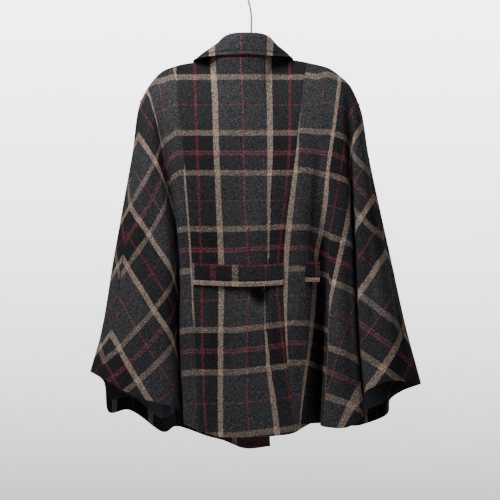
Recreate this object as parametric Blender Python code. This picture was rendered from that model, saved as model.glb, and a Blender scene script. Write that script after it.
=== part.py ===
"""A hip-length cape jacket in heavy wool, hanging on a plain hanger, seen from the back at -Y.

Metres, +Z up, the wearer's right at +X and the wearer's front at +Y. The origin is where a rail
carries the hook. The tables below are in millimetres: x from the hook's line, y from the plane of
the hanger, and drop, the distance below the rail.
"""

import math

import bmesh
import bpy
import numpy as np

MM = 0.001

# Driving dimensions, in millimetres
CLOTH = 2.0
SEAM_GAP = 0.3
SHOULDER_ROLL = 14.0
BUST, WAIST, HIP = 348.0, 568.0, 728.0

COLLAR_CLOTH = 2.4
COLLAR_ROLL = 5.0
NECK_CENTRE = -14.0
COLLAR_CENTRES = {"foot": NECK_CENTRE, "roll": -7.0, "free": -10.0}

BELT_TOP, BELT_WIDTH, BELT_CLOTH = 574.0, 43.0, 3.0
BELT_SAG, BELT_STAND_OFF = 4.0, 5.0

LINING_CLOTH = 1.0
HEM_FACING = 27.0
LINING_LENGTH = 190.0

BUTTON_RADIUS, BUTTON_HEIGHT, BUTTON_EDGE = 12.5, 4.6, 1.6
BUTTON_DROPS = (296.0, 386.0, 476.0, 566.0)

WIRE_RADIUS = 2.0
HOOK_RADIUS = 20.0
HOOK_MOUTH_DEG = 20.0
STEM_TOP_DROP, STEM_FOOT_DROP = 55.0, 152.0
ARM_RADIUS, ARM_EASE = 7.0, 1.1
ARM_CREST_DROP = 152.3
ARM_NECK_DIP = 6.0

# Each row is one line that runs down the cloth, such as a seam, the floor of a fold or its edge.
# x is given at the top, bust, waist, hip and hem; y at the bust, waist, hip and hem.
LINE_COLUMNS = (
    "name",
    "x_top", "x_bust", "x_waist", "x_hip", "x_hem",
    "y_bust", "y_waist", "y_hip", "y_hem",
    "top_drop", "hem_drop",
)

CENTRE_BACK = ("centre", -16, -16, -13, -10, -4, -69, -66, -75, -84, 152, 922)

LEFT_BACK = (
    ("nape", -62, -46, -38, -34, -30, -69, -66, -75, -84, 155, 922),
    ("neck", -84, -76, -66, -62, -58, -69, -66, -75, -83, 167, 921),
    ("princess", -150, -133, -116, -109, -103, -67, -65, -73, -79, 179.5, 908),
    ("body_edge", -174, -159, -136, -134, -126, -60, -62, -67, -72, 189, 899),
    ("arm_floor", -201, -178, -143, -141, -134, -36, -8, -2, -6, 217, 880),
    ("sleeve_edge", -206, -188, -162, -159, -153, -52, -70, -75, -78, 224, 862),
    ("sleeve_mid", -210, -206, -214, -226, -230, -56, -74, -78, -80, 231, 840),
    ("overarm", -219, -225, -255, -282, -300, -20, -32, -36, -38, 248, 802),
)

LEFT_FRONT = (
    ("edge", -218, -235, -274, -302, -320, 0, 0, 0, 0, 245, 792),
    ("underarm", -217, -232, -268, -295, -296, 11, 17, 19, 21, 243, 808),
    ("outer_front", -215, -227, -258, -284, -283, 22, 34, 38, 40, 240, 874),
    ("sleeve_mid", -208, -206, -222, -232, -246, 52, 70, 74, 76, 228, 869),
    ("sleeve_edge", -203, -190, -178, -178, -174, 54, 70, 76, 80, 220, 914),
    ("arm_floor", -196, -180, -160, -154, -150, 40, 28, 24, 26, 208, 902),
    ("body_edge", -180, -160, -138, -132, -120, 58, 66, 74, 80, 196, 910),
    ("panel_mid", -122, -122, -106, -98, -88, 66, 72, 80, 87, 174, 922),
    ("neck", -84, -88, -72, -64, -54, 68, 74, 82, 90, 167, 931),
    ("throat", -60, -42, -28, -22, -12, 69, 75, 83, 91, 206, 947),
    ("front_edge", 14, 18, 24, 30, 41, 69, 75, 83, 91, 234, 943),
)

RIGHT_BACK = (
    ("nape", 30, 20, 12, 14, 22, -69, -66, -75, -84, 155, 921),
    ("neck", 56, 48, 38, 42, 52, -69, -66, -75, -83, 162, 919),
    ("princess", 114, 92, 67, 71, 91, -67, -65, -73, -79, 172, 912),
    ("pleat_edge", 132, 123, 113, 109, 104, -66, -62, -68, -72, 176, 904),
    ("pleat_floor", 144, 145, 149, 148, 140, -63, -32, -14, -8, 179, 890),
    ("lobe_edge", 156, 158, 158, 156, 148, -62, -66, -74, -79, 182.5, 901),
    ("lobe_mid", 168, 176, 180, 184, 190, -60, -70, -79, -85, 189.5, 903),
    ("lobe_far", 182, 190, 202, 209, 220, -54, -61, -69, -73, 200.5, 889),
    ("arm_floor", 200, 200, 210, 216, 227, -32, -20, -14, -12, 218, 856),
    ("sleeve_edge", 205, 209, 218, 224, 234, -46, -62, -67, -69, 226, 828),
    ("sleeve_mid", 210, 220, 248, 268, 276, -42, -64, -70, -72, 236, 810),
    ("overarm", 218, 233, 275, 311, 333, -14, -22, -26, -26, 254, 815),
)

RIGHT_FRONT = (
    ("edge", 217, 236, 283, 319, 343, 0, 0, 0, 0, 251, 816),
    ("underarm", 216, 234, 276, 311, 307, 10, 15, 17, 18, 249, 830),
    ("outer_front", 215, 230, 268, 300, 286, 20, 30, 34, 36, 246, 860),
    ("sleeve_mid", 209, 214, 240, 262, 266, 46, 66, 72, 74, 234, 886),
    ("sleeve_edge", 202, 200, 206, 212, 226, 52, 70, 76, 80, 222, 899),
    ("arm_floor", 190, 184, 184, 186, 190, 40, 28, 24, 26, 208, 900),
    ("body_edge", 174, 160, 156, 156, 156, 58, 66, 74, 80, 195, 896),
    ("panel_mid", 104, 108, 108, 110, 112, 70, 78, 86, 93, 170, 898),
    ("neck", 56, 60, 54, 52, 52, 75, 82, 90, 98, 162, 902),
    ("throat", 32, 16, 8, 4, 2, 77, 83, 91, 99, 206, 908),
    ("front_edge", -42, -44, -46, -48, -48, 77, 83, 91, 99, 234, 912),
)

# Lines that start on the neckline lie in front of or behind the hanger, at this y.
NECKLINE_Y = {
    "centre": -46.0,
    "nape": -37.0,
    "throat": 35.0,
    "front_edge": 47.0,
}
# The right front laps over the left one at the neckline as well.
RIGHT_LAP = 7.0

# The lines at the end of the shoulder leave the hanger's plane by only this much at first.
ARM_TURN = {"overarm": 1.0, "edge": 5.0, "underarm": 8.0, "outer_front": 11.0}

# Segments of the wall between one line and the next
SEGMENTS = {
    "nape": 3, "neck": 2, "princess": 4,
    "body_edge": 4, "arm_floor": 4, "sleeve_edge": 4, "sleeve_mid": 4,
    "pleat_edge": 2, "pleat_floor": 3, "lobe_edge": 3, "lobe_mid": 2, "lobe_far": 2,
    "overarm": 4, "edge": 3, "underarm": 2, "outer_front": 2, "panel_mid": 4, "throat": 3, "front_edge": 3,
}
# Segments of the wall from one level to the next: top, roll, bust, waist, hip, hem
LEVEL_SEGMENTS = (3, 3, 5, 4, 4)

# Rows of the collar from the back to the front end: x from the neck's centre, y and drop of
# the sewn foot, then of the roll line, then of the free edge.
COLLAR_COLUMNS = (
    "name",
    "foot_x", "foot_y", "foot_drop",
    "roll_x", "roll_y", "roll_drop",
    "free_x", "free_y", "free_drop",
)
COLLAR_ROWS = (
    ("back", 0, -40.5, 151.0, 0, -46, 115, 0, -51.5, 158),
    ("nape", 40, -32, 154.0, 34, -37, 118, 58, -41, 160),
    ("side", 64, -2, 161.0, 57, -4, 139, 102, -5, 165),
    ("collarbone", 57, 14, 176.0, 60, 15, 153, 97, 24, 176),
    ("throat", 41, 30, 203.0, 46, 34, 180, 86, 52, 224),
    ("front", 2.5, 41, 231.0, 5, 46, 206, 30, 72, 280),
)
COLLAR_SEGMENTS_ROUND = 4

# Linear colours for the viewport
WOOL = (0.030, 0.030, 0.033, 1.0)
LINING = (0.006, 0.006, 0.010, 1.0)
HORN = (0.012, 0.011, 0.010, 1.0)
STEEL = (0.60, 0.60, 0.62, 1.0)
HANGER_BLACK = (0.02, 0.02, 0.02, 1.0)


def row_of(columns, values):
    return dict(zip(columns, values))


def tangents(points, knots):
    """Smooth tangents through points that are unevenly spaced along knots."""
    steps = np.diff(knots)[:, None]
    slopes = np.diff(points, axis=0) / steps
    inner = (slopes[:-1] * steps[1:] + slopes[1:] * steps[:-1]) / (steps[:-1] + steps[1:])
    return np.vstack([slopes[:1], inner, slopes[-1:]])


def through(points, counts, start=None):
    """Points of a smooth curve through points, with counts segments in each span."""
    points = np.asarray(points, float)
    chords = np.linalg.norm(np.diff(points, axis=0), axis=1)
    knots = np.concatenate([[0.0], np.cumsum(np.maximum(chords, 0.5))])
    slopes = tangents(points, knots)
    if start is not None:
        slopes[0] = start
    found = [points[0]]
    for i, count in enumerate(counts):
        step = knots[i + 1] - knots[i]
        for t in np.arange(1, count + 1) / count:
            found.append(
                points[i] * (1 + 2 * t) * (1 - t) ** 2
                + points[i + 1] * t * t * (3 - 2 * t)
                + slopes[i] * step * t * (1 - t) ** 2
                - slopes[i + 1] * step * t * t * (1 - t)
            )
    return np.array(found)


def line_down(line, facing, lap):
    """Points down one line of the cloth, from the shoulder or neckline to the hem."""
    levels = [
        (line["x_bust"], line["y_bust"], BUST),
        (line["x_waist"], line["y_waist"], WAIST),
        (line["x_hip"], line["y_hip"], HIP),
        (line["x_hem"], line["y_hem"], line["hem_drop"]),
    ]
    drop = line["top_drop"]
    start = None
    share = 0.25
    if line["name"] in NECKLINE_Y:
        top = (line["x_top"], NECKLINE_Y[line["name"]] + lap, drop)
        first = tuple(a + (b - a) * share for a, b in zip(top, levels[0]))
        roll = (first[0], first[1] + facing * 3.0, first[2])
    else:
        top = (line["x_top"], 0.0, drop)
        depth = SHOULDER_ROLL
        start = (0.0, 1.5 * facing, 0.0)
        if line["name"] in ARM_TURN:
            depth = ARM_TURN[line["name"]]
            start = (0.0, 0.04 * depth * facing, 1.0)
        else:
            share = 0.12
        toward = line["x_top"] + share * (line["x_bust"] - line["x_top"])
        roll = (toward, depth * facing, drop + SHOULDER_ROLL)
    points = np.array([top, roll, *levels], float)
    return through(points, LEVEL_SEGMENTS, start)


def half_ring(back, front, lap):
    """The cloth of one side from the centre back round the arm to the front edge.

    Returns the outer points by row and column, and the column of each line by name.
    """
    lines = [row_of(LINE_COLUMNS, values) for values in (CENTRE_BACK, *back, *front)]
    facings = [-1] * (1 + len(back)) + [1] * len(front)
    laps = [0.0] * (1 + len(back)) + [lap] * len(front)
    downs = [line_down(line, f, gap) for line, f, gap in zip(lines, facings, laps)]
    counts = [SEGMENTS[line["name"]] for line in lines[1:]]
    rows = [through([down[r] for down in downs], counts) for r in range(len(downs[0]))]
    columns, at = {}, 0
    for line, facing, count in zip(lines, facings, [0, *counts]):
        at += count
        columns[("back_" if facing < 0 else "front_") + line["name"]] = at
    points = np.array(rows)
    ridge = points[0, columns["back_neck"]:columns["back_overarm"] + 1]
    ridge[:, 1] = 0.0
    facing_ridge = points[0, columns["front_edge"] - SEGMENTS["edge"] + 1:columns["front_neck"] + 1]
    facing_ridge[:, 1] = 0.0
    facing_ridge[:, 0] = np.interp(facing_ridge[:, 2], ridge[:, 2], ridge[:, 0])
    return points, columns


def unit(vectors):
    return vectors / np.maximum(np.linalg.norm(vectors, axis=-1, keepdims=True), 1e-9)


def ring_normals(points, columns, side):
    """Outward directions of the cloth. Along the shoulder they lie in the plane of the hanger."""
    across = np.gradient(points, axis=1)
    down = np.gradient(points, axis=0)
    normals = unit(np.cross(across, down)) * side
    shoulder = {
        "back": range(columns["back_neck"], columns["back_overarm"] + 1),
        "front": range(columns["back_overarm"] + 1, columns["front_neck"] + 1),
    }
    for part in shoulder.values():
        picked = np.array(part)
        along = np.gradient(points[0, picked], axis=0)
        upright = unit(np.stack([along[:, 2], 0 * along[:, 2], -along[:, 0]], axis=1))
        upright *= np.where(upright[:, 2:] > 0, -1.0, 1.0)
        normals[0, picked] = upright
    return normals


def in_frame(points):
    """Table millimetres to metres: drop counts downwards."""
    return np.asarray(points, float) * (MM, MM, -MM)


def material(name, colour, roughness, metallic=0.0):
    made = bpy.data.materials.get(name)
    if made is None:
        made = bpy.data.materials.new(name)
        made.use_nodes = True
        shader = made.node_tree.nodes["Principled BSDF"]
        shader.inputs["Base Color"].default_value = colour
        shader.inputs["Roughness"].default_value = roughness
        shader.inputs["Metallic"].default_value = metallic
    return made


def place(name, mesh, finish, collection):
    mesh.materials.append(finish)
    part = bpy.data.objects.new(name, mesh)
    collection.objects.link(part)
    mesh.shade_smooth()
    mesh.set_sharp_from_angle(angle=math.radians(50))
    return part


def wall(name, outer, inner, finish, collection):
    """A closed sheet of cloth between two grids of points."""
    rows, columns = outer.shape[:2]
    bm = bmesh.new()
    bmesh.ops.create_grid(bm, x_segments=columns - 1, y_segments=rows - 1, size=1.0)
    number = bm.verts.layers.int.new("number")
    for i, vert in enumerate(bm.verts):
        vert[number] = i
    made = bmesh.ops.extrude_face_region(bm, geom=bm.faces[:], use_keep_orig=True)
    raised = {item for item in made["geom"] if isinstance(item, bmesh.types.BMVert)}
    outer, inner = in_frame(outer), in_frame(inner)
    for vert in bm.verts:
        row, column = divmod(vert[number], columns)
        vert.co = (outer if vert in raised else inner)[row, column]
    bmesh.ops.recalc_face_normals(bm, faces=bm.faces)
    mesh = bpy.data.meshes.new(name)
    bm.to_mesh(mesh)
    bm.free()
    return place(name, mesh, finish, collection)


def drawn_in(points, edges):
    """The points moved in by half of the seam's gap at the named edges and along the shoulder."""
    moved = points.copy()
    half = SEAM_GAP / 2
    if "first" in edges:
        moved[:, 0] += half * unit(points[:, 1] - points[:, 0])
    if "last" in edges:
        moved[:, -1] += half * unit(points[:, -2] - points[:, -1])
    ridge = points[0, :, 1] == 0.0
    moved[0, ridge, 1] = half if "front" in edges else -half
    return moved


def panel(name, points, normals, first, last, edges, finish, collection):
    """One cut piece of the ring, from column first to column last."""
    picked = slice(first, last + 1)
    outer = drawn_in(points[:, picked], edges)
    return wall(name, outer, outer - CLOTH * normals[:, picked], finish, collection)


def body_panels(sides, finish, collection):
    """The back, the two cape backs and the two cape fronts."""
    left, right = sides
    for side, word in ((left, "left"), (right, "right")):
        columns = side["columns"]
        princess, overarm = columns["back_princess"], columns["back_overarm"]
        panel(
            "cape_back_" + word, side["points"], side["normals"], princess, overarm,
            ("first", "last"), finish, collection,
        )
        panel(
            "cape_front_" + word, side["points"], side["normals"], overarm, columns["front_front_edge"],
            ("first", "front"), finish, collection,
        )
    reach = [side["columns"]["back_princess"] for side in sides]
    points = np.concatenate([left["points"][:, reach[0]:0:-1], right["points"][:, : reach[1] + 1]], axis=1)
    normals = np.concatenate([left["normals"][:, reach[0]:0:-1], right["normals"][:, : reach[1] + 1]], axis=1)
    middle = reach[0]
    normals[:, middle] = unit(normals[:, middle - 1] + normals[:, middle + 1])
    panel("back_centre", points, normals, 0, points.shape[1] - 1, ("first", "last"), finish, collection)
    return points, normals


def at_drop(points, column, drop):
    """The point of one column at a given drop."""
    down = points[:, column]
    return np.array([np.interp(drop, down[:, 2], down[:, k]) for k in range(3)])


def across_at(points, normals, columns, drop):
    """The points and outward directions of several columns at one drop."""
    found = np.array([at_drop(points, c, drop) for c in columns])
    facing = []
    for c in columns:
        row = np.searchsorted(points[:, c, 2], drop)
        facing.append(normals[row, c])
    return found, unit(np.array(facing))


def belt(back_points, back_normals, right, finish, collection):
    """The belt over the back, and the stretch that shows again where it spans the pleat."""
    columns = range(back_points.shape[1])
    share = np.linspace(-1, 1, len(columns))
    hang = (1 - share ** 2)[:, None]
    rows_outer, rows_inner = [], []
    for down in (0.0, 0.5, 1.0):
        drop = BELT_TOP + down * BELT_WIDTH
        found, facing = across_at(back_points, back_normals, columns, drop)
        facing[:, 2] = 0.0
        facing = unit(facing)
        inner = found + facing * (SEAM_GAP + CLOTH * 0.2 + BELT_STAND_OFF * hang) + hang * (0, 0, BELT_SAG)
        rows_inner.append(inner)
        rows_outer.append(inner + facing * BELT_CLOTH)
    wall("belt_back", np.array(rows_outer), np.array(rows_inner), finish, collection)

    columns = right["columns"]
    near, far = columns["back_pleat_edge"], columns["back_lobe_edge"] - 1
    rows_outer, rows_inner = [], []
    for down in (0.0, 0.5, 1.0):
        drop = BELT_TOP - 2.0 + down * (BELT_WIDTH - 3.0)
        (start, end), facing = across_at(right["points"], right["normals"], (near, far), drop)
        chord = unit(end - start)
        out = np.array([chord[1], -chord[0], 0.0])
        stretch = np.linspace(0.0, 1.0, 5)[:, None]
        inner = start - chord * 2.0 + stretch * (end - start - chord * 12.0)
        rows_inner.append(inner + out * SEAM_GAP)
        rows_outer.append(inner + out * (SEAM_GAP + BELT_CLOTH))
    wall("belt_side", np.array(rows_outer), np.array(rows_inner), finish, collection)


def lining(side, word, finish, collection):
    """The lining that shows inside the front of a sleeve, above the hem's facing."""
    columns = side["columns"]
    picked = list(range(columns["front_underarm"] + 1, columns["front_arm_floor"] + 1))
    points = side["points"] - (CLOTH + SEAM_GAP) * side["normals"]
    rows_outer, rows_inner = [], []
    for share in np.linspace(0, 1, 6):
        row = []
        facing = []
        for c in picked:
            hem = points[-1, c, 2]
            drop = hem - HEM_FACING - LINING_LENGTH * (1 - share)
            row.append(at_drop(points, c, drop))
            facing.append(side["normals"][np.searchsorted(points[:, c, 2], drop) - 1, c])
        row = np.array(row) - 0.25 * np.array(facing)
        rows_outer.append(row)
        rows_inner.append(row - LINING_CLOTH * np.array(facing))
    wall("lining_" + word, np.array(rows_outer), np.array(rows_inner), finish, collection)


def collar(finish, collection):
    """The collar: its stand rises from the neckline, rolls over and falls to a free edge."""
    rows = [row_of(COLLAR_COLUMNS, values) for values in COLLAR_ROWS]
    stations = []
    for mirror, picked in ((-1, rows[:0:-1]), (1, rows)):
        for row in picked:
            foot, roll, free = (
                np.array([centre + mirror * row[part + "_x"], row[part + "_y"], row[part + "_drop"]])
                for part, centre in COLLAR_CENTRES.items()
            )
            out = unit((free - roll) * (1, 1, 0))
            stations.append((
                foot,
                foot * 0.45 + roll * 0.55 - out * 1.5,
                roll - out * COLLAR_ROLL + (0, 0, COLLAR_ROLL),
                roll,
                roll + out * COLLAR_ROLL + (0, 0, COLLAR_ROLL),
                roll * 0.5 + free * 0.5 + out * 2.0,
                free,
            ))
    round_counts = [COLLAR_SEGMENTS_ROUND] * (len(stations) - 1)
    rings = [through([s[k] for s in stations], round_counts) for k in range(len(stations[0]))]
    over_counts = (2, 2, 2, 2, 2, 2)
    points = np.array([through([ring[i] for ring in rings], over_counts) for i in range(len(rings[0]))])
    normals = unit(np.cross(np.gradient(points, axis=0), np.gradient(points, axis=1)))
    wall("collar", points, points + COLLAR_CLOTH * normals, finish, collection)


def buttons(right, finish, collection):
    """Round buttons down the centre front, each flat on the right front."""
    columns = right["columns"]
    first, last = columns["front_throat"], columns["front_front_edge"]
    for i, drop in enumerate(BUTTON_DROPS):
        found, facing = across_at(right["points"], right["normals"], range(first, last + 1), drop)
        order = np.argsort(found[:, 0])
        seat = np.array([np.interp(NECK_CENTRE, found[order, 0], found[order, k]) for k in range(3)])
        out = unit(facing.mean(axis=0)) * (1, 1, -1)
        name = f"button_{i + 1}"
        bm = bmesh.new()
        bmesh.ops.create_cone(
            bm, cap_ends=True, segments=16, depth=BUTTON_HEIGHT * MM,
            radius1=BUTTON_RADIUS * MM, radius2=BUTTON_RADIUS * MM,
        )
        rims = [edge for edge in bm.edges if abs(edge.verts[0].co.z - edge.verts[1].co.z) < 1e-6]
        bmesh.ops.bevel(bm, geom=rims, offset=BUTTON_EDGE * MM, segments=1, affect="EDGES", profile=0.5)
        mesh = bpy.data.meshes.new(name)
        bm.to_mesh(mesh)
        bm.free()
        part = place(name, mesh, finish, collection)
        part.location = in_frame(seat) + out * (BUTTON_HEIGHT / 2 + SEAM_GAP + 0.5) * MM
        part.rotation_mode = "QUATERNION"
        part.rotation_quaternion = to_quaternion(out)


def to_quaternion(direction):
    """The turn that carries +Z to a direction."""
    half = np.array([direction[0], direction[1], direction[2] + 1.0])
    half /= np.linalg.norm(half)
    return (half[2], -half[1], half[0], 0.0)


def tube(name, points, radius, finish, collection):
    """A round bar along points, in metres."""
    curve = bpy.data.curves.new(name, "CURVE")
    curve.dimensions = "3D"
    curve.bevel_depth = radius * MM
    curve.bevel_resolution = 2
    curve.use_fill_caps = True
    spline = curve.splines.new("POLY")
    spline.points.add(len(points) - 1)
    for point, at in zip(spline.points, points):
        point.co = (*at, 1.0)
    drawn = bpy.data.objects.new(name + "_line", curve)
    mesh = bpy.data.meshes.new_from_object(drawn)
    mesh.name = name
    bpy.data.objects.remove(drawn)
    bm = bmesh.new()
    bm.from_mesh(mesh)
    bmesh.ops.remove_doubles(bm, verts=bm.verts, dist=0.01 * MM)
    bm.to_mesh(mesh)
    bm.free()
    return place(name, mesh, finish, collection)


def hanger(sides, black, steel, collection):
    """A bar that follows the shoulders inside the cloth, and the wire hook above it."""
    below = CLOTH + SEAM_GAP + ARM_EASE + ARM_RADIUS
    halves = []
    for side in sides:
        columns = side["columns"]
        picked = range(columns["back_neck"], columns["back_overarm"] - 5)
        top = side["points"][0, picked] - below * side["normals"][0, picked]
        top[:, 2] += ARM_NECK_DIP * np.linspace(1, 0, len(top)) ** 2
        halves.append(top)
    crest = [np.array([0.0, 0.0, ARM_CREST_DROP + ARM_RADIUS])]
    path = through([*halves[0][::-1], *crest, *halves[1]], [1] * (len(halves[0]) + len(halves[1])))
    tube("hanger_arms", in_frame(path), ARM_RADIUS, black, collection)

    centre = WIRE_RADIUS - HOOK_RADIUS
    turn = np.radians(np.arange(HOOK_MOUTH_DEG - 40.0, 206.0, 15.0))
    arc = [(HOOK_RADIUS * math.cos(a), 0.0, -(centre + HOOK_RADIUS * math.sin(a))) for a in turn]
    bend = through(
        [arc[-2], arc[-1], (-6.0, 0.0, STEM_TOP_DROP - 14.0), (0.0, 0.0, STEM_TOP_DROP + 6.0),
         (0.0, 0.0, STEM_FOOT_DROP)],
        [1, 4, 4, 2],
    )
    wire = np.array([*arc[:-1], *bend[1:]])
    tube("hanger_hook", in_frame(wire), WIRE_RADIUS, steel, collection)


def main():
    for item in list(bpy.data.objects):
        bpy.data.objects.remove(item)
    collection = bpy.data.collections.new("cape_jacket")
    bpy.context.scene.collection.children.link(collection)
    wool = material("wool_check", WOOL, 0.95)
    satin = material("lining_satin", LINING, 0.45)
    horn = material("button_horn", HORN, 0.4)
    steel = material("hook_steel", STEEL, 0.25, 1.0)
    black = material("hanger_black", HANGER_BLACK, 0.5)

    sides = []
    for back, front, lap, hand in (
        (LEFT_BACK, LEFT_FRONT, 0.0, -1),
        (RIGHT_BACK, RIGHT_FRONT, RIGHT_LAP, 1),
    ):
        points, columns = half_ring(back, front, lap)
        normals = ring_normals(points, columns, hand)
        sides.append({"points": points, "normals": normals, "columns": columns})

    back_points, back_normals = body_panels(sides, wool, collection)
    belt(back_points, back_normals, sides[1], wool, collection)
    collar(wool, collection)
    for side, word in zip(sides, ("left", "right")):
        lining(side, word, satin, collection)
    buttons(sides[1], horn, collection)
    hanger(sides, black, steel, collection)


main()
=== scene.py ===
"""The looks of a cape jacket in checked wool on its hanger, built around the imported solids.

Metres, +Z up, the wearer's right at +X and the wearer's front at +Y. Tables of the garment are in
millimetres, with drop counted down from the rail. Tables of the check and the creases are in
picture units of PICTURE_UNIT millimetres, x from the left and y from the top of the picture.
"""

import math

import bmesh
import bpy
import numpy as np
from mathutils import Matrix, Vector


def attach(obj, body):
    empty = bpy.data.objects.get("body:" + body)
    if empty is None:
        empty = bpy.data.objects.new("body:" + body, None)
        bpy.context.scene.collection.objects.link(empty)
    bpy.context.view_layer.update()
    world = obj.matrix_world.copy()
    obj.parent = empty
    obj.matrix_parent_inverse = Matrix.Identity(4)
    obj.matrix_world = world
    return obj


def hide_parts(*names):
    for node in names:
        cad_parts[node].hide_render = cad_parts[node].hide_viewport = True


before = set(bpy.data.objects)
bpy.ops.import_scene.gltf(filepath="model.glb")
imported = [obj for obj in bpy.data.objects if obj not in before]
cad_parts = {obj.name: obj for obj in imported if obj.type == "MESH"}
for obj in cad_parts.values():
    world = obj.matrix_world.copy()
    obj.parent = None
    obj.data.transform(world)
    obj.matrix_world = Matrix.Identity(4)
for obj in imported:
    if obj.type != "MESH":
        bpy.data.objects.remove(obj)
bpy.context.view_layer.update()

MM = 0.001

# The picture is square, and one of its units is this many millimetres of the garment.
PICTURE_UNIT = 2.0
PICTURE_MIDDLE = 250.0
PICTURE_TOP_DROP = 48.0

# Sizes of the garment, in millimetres, apart from shares, degrees and counts
CLOTH = 2.0
SEAM_GAP = 0.3
SEAM_SINK, SEAM_SINK_NEXT = 0.7, 0.14
CLOTH_SHARP_DEG, TUBE_SHARP_DEG = 62, 50
SHOULDER_ROLL, SHOULDER_SHARE, SHOULDER_START = 14.0, 0.12, 1.5
NECK_SHARE, NECK_SWELL, ARM_START = 0.25, 3.0, 0.04
BUST, WAIST, HIP = 348.0, 568.0, 728.0
COLLAR_CLOTH, COLLAR_ROLL, NECK_CENTRE = 2.4, 5.0, -14.0
COLLAR_CENTRES = {"foot": NECK_CENTRE, "roll": -7.0, "free": -14.0}
BELT_TOP, BELT_WIDTH, BELT_CLOTH, BELT_SAG, BELT_STAND_OFF = 574.0, 43.0, 3.0, 4.0, 5.0
BELT_ROWS, BELT_PUFF, BELT_GROOVE, BELT_GROOVE_WIDTH, BELT_GROOVE_DEPTH = 33, 0.6, 0.77, 0.035, 1.3
SIDE_BELT_RISE, SIDE_BELT_LESS, SIDE_BELT_BEFORE, SIDE_BELT_SHORT, SIDE_BELT_COLUMNS = 2.0, 3.0, 2.0, 12.0, 13
LINING_CLOTH, HEM_FACING, LINING_LENGTH, LINING_EASE, LINING_ROWS = 1.0, 27.0, 190.0, 0.25, 49
BUTTON_RADIUS, BUTTON_HEIGHT = 12.5, 4.6
BUTTON_DROPS = (296.0, 386.0, 476.0, 566.0)
# The thread's reach and height, and the button's section, are shares of its radius and its height.
BUTTON_SEAT, THREAD_REACH, THREAD_RADIUS, THREAD_HEIGHT = 0.5, 0.26, 0.7, 0.30
BUTTON_PROFILE = (
    (0.0, 0.30), (0.52, 0.30), (0.62, 0.36), (0.72, 0.47), (0.84, 0.50), (0.94, 0.44), (1.0, 0.18),
    (1.0, -0.18), (0.93, -0.44), (0.80, -0.5), (0.0, -0.5),
)
WIRE_RADIUS, HOOK_RADIUS, HOOK_DEGREES = 2.0, 20.0, (-20.0, 206.0, 5.0)
STEM_BEND_X, STEM_BEND_DROP, STEM_TOP_DROP, STEM_FOOT_DROP = -6.0, 41.0, 61.0, 152.0
ARM_RADIUS, ARM_CREST_DROP, ARM_NECK_DIP, ARM_EASE = 7.0, 152.3, 6.0, 1.1
ARM_SHORT_BY, ARM_FINER = 5, 4

# Each row is one line that runs down the cloth, such as a seam, the floor of a fold or its edge.
LINE_COLUMNS = (
    "name",
    "x_top", "x_bust", "x_waist", "x_hip", "x_hem",
    "y_bust", "y_waist", "y_hip", "y_hem",
    "top_drop", "hem_drop",
)
CENTRE_BACK = ("centre", -16, -16, -13, -10, -4, -69, -66, -75, -84, 152, 922)
LEFT_BACK = (
    ("nape", -62, -46, -38, -34, -30, -69, -66, -75, -84, 155, 922),
    ("neck", -84, -76, -66, -62, -58, -69, -66, -75, -83, 167, 921),
    ("princess", -150, -133, -116, -109, -103, -67, -65, -73, -79, 179.5, 908),
    ("body_edge", -174, -159, -136, -134, -126, -60, -62, -67, -72, 189, 899),
    ("arm_floor", -201, -175, -139, -137, -129.5, -36, -8, -2, -6, 217, 880),
    ("sleeve_edge", -206, -188, -162, -159, -153, -52, -70, -75, -78, 224, 862),
    ("sleeve_mid", -210, -206, -214, -226, -230, -56, -74, -78, -80, 231, 840),
    ("overarm", -219, -225, -255, -282, -300, -20, -32, -36, -38, 248, 802),
)
LEFT_FRONT = (
    ("edge", -218, -235, -274, -302, -320, 0, 0, 0, 0, 245, 792),
    ("underarm", -217, -232, -268, -295, -296, 11, 17, 19, 21, 243, 808),
    ("outer_front", -215, -227, -258, -284, -283, 22, 34, 38, 40, 240, 874),
    ("sleeve_mid", -208, -206, -222, -232, -246, 52, 70, 74, 76, 228, 869),
    ("sleeve_edge", -203, -190, -178, -178, -174, 54, 70, 76, 80, 220, 914),
    ("arm_floor", -196, -180, -160, -154, -150, 40, 28, 24, 26, 208, 902),
    ("body_edge", -180, -160, -138, -132, -120, 58, 66, 74, 80, 196, 910),
    ("panel_mid", -122, -122, -106, -98, -88, 66, 72, 80, 87, 174, 922),
    ("neck", -84, -88, -72, -64, -54, 68, 74, 82, 90, 167, 931),
    ("throat", -60, -42, -28, -22, -12, 69, 75, 83, 91, 206, 947),
    ("front_edge", 14, 18, 24, 30, 41, 69, 75, 83, 91, 234, 943),
)
RIGHT_BACK = (
    ("nape", 30, 20, 12, 14, 22, -69, -66, -75, -84, 155, 921),
    ("neck", 56, 48, 38, 42, 52, -69, -66, -75, -83, 162, 919),
    ("princess", 114, 92, 67, 71, 91, -67, -65, -73, -79, 172, 912),
    ("pleat_edge", 132, 123, 113, 109, 104, -66, -62, -68, -72, 176, 904),
    ("pleat_floor", 144, 145, 149, 148, 140, -63, -32, -14, -8, 179, 890),
    ("lobe_edge", 156, 158, 158, 156, 148, -62, -66, -74, -79, 182.5, 901),
    ("lobe_mid", 168, 176, 180, 184, 190, -60, -70, -79, -85, 189.5, 903),
    ("lobe_far", 182, 190, 202, 209, 220, -54, -61, -69, -73, 200.5, 889),
    ("arm_floor", 200, 200, 210, 216, 227, -32, -20, -14, -12, 218, 856),
    ("sleeve_edge", 205, 209, 218, 224, 234, -46, -62, -67, -69, 226, 828),
    ("sleeve_mid", 210, 220, 248, 268, 276, -42, -64, -70, -72, 236, 810),
    ("overarm", 218, 233, 275, 311, 333, -14, -22, -26, -26, 254, 815),
)
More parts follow.
